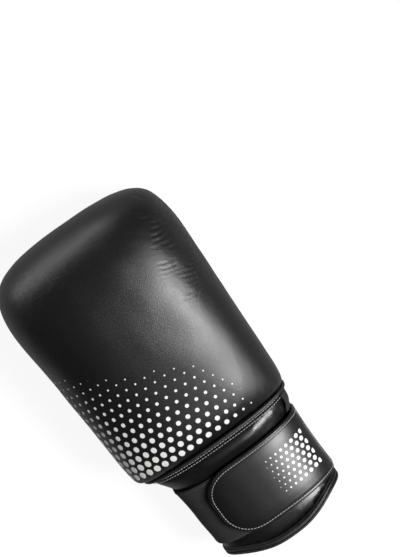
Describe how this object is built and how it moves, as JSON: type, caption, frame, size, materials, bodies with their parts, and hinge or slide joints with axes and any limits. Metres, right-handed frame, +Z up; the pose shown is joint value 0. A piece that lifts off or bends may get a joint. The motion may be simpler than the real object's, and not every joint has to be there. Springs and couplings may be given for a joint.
{
  "type": "bag glove",
  "caption": "Padded leather bag glove for the left hand, lying palm down, with an open-ended thumb sleeve, a ribbed elastic wrist and a hook-and-loop strap.",
  "frame": {"origin": "on the resting surface, under the middle of the elastic band", "axes": "+X to the thumb side, +Y to the fingertips, +Z up from the palm side to the back of the hand"},
  "size_m": [0.1341, 0.2604, 0.077],
  "materials": {
    "pad_leather": "satin",
    "palm_leather": "gloss",
    "cuff_leather": "satin",
    "strap_leather": "satin",
    "binding_tape": "satin",
    "elastic_web": "ribbed matt",
    "loop_cloth": "napped matt",
    "gusset_cloth": "woven matt"
  },
  "bodies": {
    "root": {"knuckle_pad": "pad_leather", "finger_lip": "palm_leather", "grip_roll": "palm_leather", "palm_panel": "palm_leather", "thumb_sleeve": "palm_leather", "cuff_back": "cuff_leather", "seam_welt": "binding_tape", "side_gusset": "gusset_cloth", "elastic_band": "elastic_web", "loop_patch": "loop_cloth", "wrist_strap": "strap_leather", "cuff_binding": "binding_tape"}
  },
  "joints": []
}
